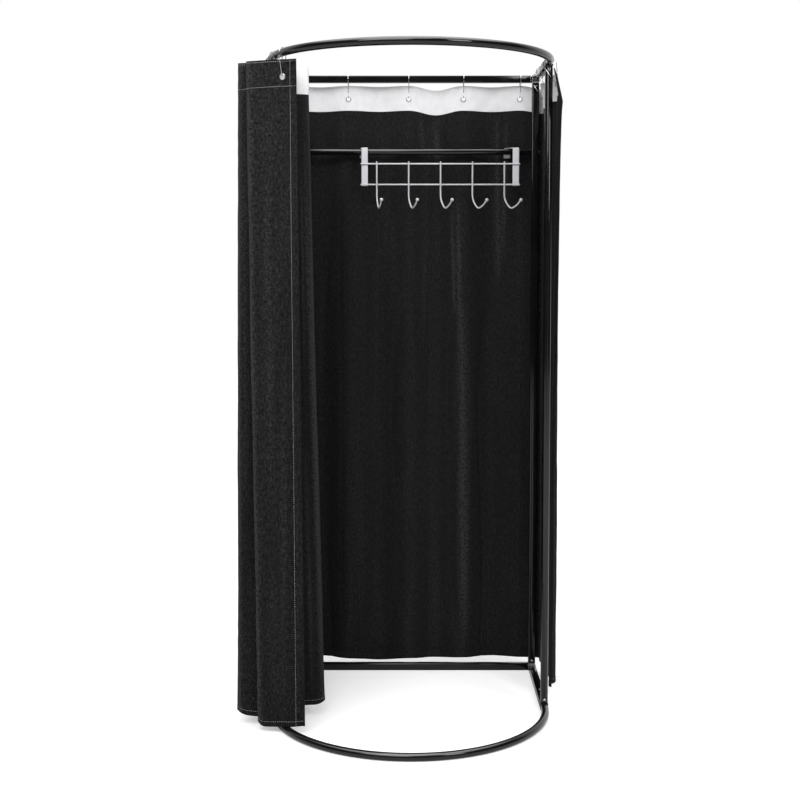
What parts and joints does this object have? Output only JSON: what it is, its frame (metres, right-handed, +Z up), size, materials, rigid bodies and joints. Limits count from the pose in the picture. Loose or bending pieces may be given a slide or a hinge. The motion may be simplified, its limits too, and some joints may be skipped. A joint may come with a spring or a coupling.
{
  "type": "portable fitting room",
  "caption": "D-shaped steel tube frame with a half-round front, a curtain on wire hooks along its top rail, a hanging bar across the rear and a rack of coat hooks on the bar.",
  "frame": {"origin": "on the floor, at the middle of the outline seen from above", "axes": "+Z up, the half-round open front faces -Y, +X to the right seen from the front"},
  "size_m": [1.062, 0.9646, 2.1397],
  "materials": {
    "frame_tube": "gloss",
    "fastener": "satin",
    "rack_wire": "satin",
    "hook_wire": "bright",
    "curtain_cloth": "matt",
    "header_tape": "matt"
  },
  "bodies": {
    "frame": {"bottom_front_arc": "frame_tube", "top_front_arc": "frame_tube", "bottom_rear_rail": "frame_tube", "top_rear_rail": "frame_tube", "bottom_left_rail": "frame_tube", "bottom_right_rail": "frame_tube", "top_left_rail": "frame_tube", "top_right_rail": "frame_tube", "left_front_upright": "frame_tube", "left_rear_upright": "frame_tube", "right_front_upright": "frame_tube", "right_rear_upright": "frame_tube", "hanging_bar": "frame_tube", "bottom_left_rail_bolt": "fastener", "bottom_right_rail_bolt": "fastener", "top_left_rail_bolt": "fastener", "top_right_rail_bolt": "fastener", "bottom_left_arc_screw": "fastener", "bottom_right_arc_screw": "fastener", "top_left_arc_screw": "fastener", "top_right_arc_screw": "fastener", "bottom_left_front_upright_screw": "fastener", "bottom_left_rear_upright_screw": "fastener", "bottom_right_front_upright_screw": "fastener", "bottom_right_rear_upright_screw": "fastener", "top_left_front_upright_screw": "fastener", "top_left_rear_upright_screw": "fastener", "top_right_front_upright_screw": "fastener", "top_right_rear_upright_screw": "fastener", "left_bar_bolt": "fastener", "right_bar_bolt": "fastener", "right_curtain_hook_1": "hook_wire", "right_curtain_hook_2": "hook_wire", "right_curtain_hook_3": "hook_wire", "rear_curtain_hook_1": "hook_wire", "rear_curtain_hook_2": "hook_wire", "rear_curtain_hook_3": "hook_wire", "rear_curtain_hook_4": "hook_wire", "rear_curtain_hook_5": "hook_wire", "left_curtain_hook_1": "hook_wire", "left_curtain_hook_2": "hook_wire", "surround_curtain": "curtain_cloth", "surround_header_tape": "header_tape"},
    "front_hook_1": {"front_curtain_hook_1": "hook_wire"},
    "front_hook_2": {"front_curtain_hook_2": "hook_wire"},
    "front_hook_3": {"front_curtain_hook_3": "hook_wire"},
    "front_hook_4": {"front_curtain_hook_4": "hook_wire"},
    "front_hook_5": {"front_curtain_hook_5": "hook_wire"},
    "curtain_lead": {"front_curtain_hook_6": "hook_wire", "front_curtain": "curtain_cloth", "front_header_tape": "header_tape"},
    "rack": {"rack_left_strap": "rack_wire", "rack_right_strap": "rack_wire", "rack_upper_wire": "rack_wire", "rack_lower_wire": "rack_wire", "coat_hook_1": "rack_wire", "coat_hook_2": "rack_wire", "coat_hook_3": "rack_wire", "coat_hook_4": "rack_wire", "coat_hook_5": "rack_wire"}
  },
  "joints": [
    {"name": "curtain_draw", "type": "hinge", "parent": "frame", "child": "curtain_lead", "pos_m": [0.02374, -0.02505, 0], "axis": [0, 0, 1], "range_deg": [0, 142], "deforming": ["front_curtain", "front_header_tape"]},
    {"name": "hook_1_slide", "type": "hinge", "parent": "frame", "child": "front_hook_1", "pos_m": [0.02374, -0.02505, 0], "axis": [0, 0, 1], "range_deg": [0, 13.41]},
    {"name": "hook_2_slide", "type": "hinge", "parent": "frame", "child": "front_hook_2", "pos_m": [0.02374, -0.02505, 0], "axis": [0, 0, 1], "range_deg": [0, 38.93]},
    {"name": "hook_3_slide", "type": "hinge", "parent": "frame", "child": "front_hook_3", "pos_m": [0.02374, -0.02505, 0], "axis": [0, 0, 1], "range_deg": [0, 66.8]},
    {"name": "hook_4_slide", "type": "hinge", "parent": "frame", "child": "front_hook_4", "pos_m": [0.02374, -0.02505, 0], "axis": [0, 0, 1], "range_deg": [0, 92.47]},
    {"name": "hook_5_slide", "type": "hinge", "parent": "frame", "child": "front_hook_5", "pos_m": [0.02374, -0.02505, 0], "axis": [0, 0, 1], "range_deg": [0, 126.45]},
    {"name": "rack_slide", "type": "slide", "parent": "frame", "child": "rack", "axis": [1, 0, 0], "range_m": [-0.25, 0.04]}
  ],
  "couplings": [
    {"joint": "hook_1_slide", "follows": "curtain_draw", "ratio": 0.090896},
    {"joint": "hook_2_slide", "follows": "curtain_draw", "ratio": 0.27066},
    {"joint": "hook_3_slide", "follows": "curtain_draw", "ratio": 0.46691},
    {"joint": "hook_4_slide", "follows": "curtain_draw", "ratio": 0.64765},
    {"joint": "hook_5_slide", "follows": "curtain_draw", "ratio": 0.88695}
  ]
}
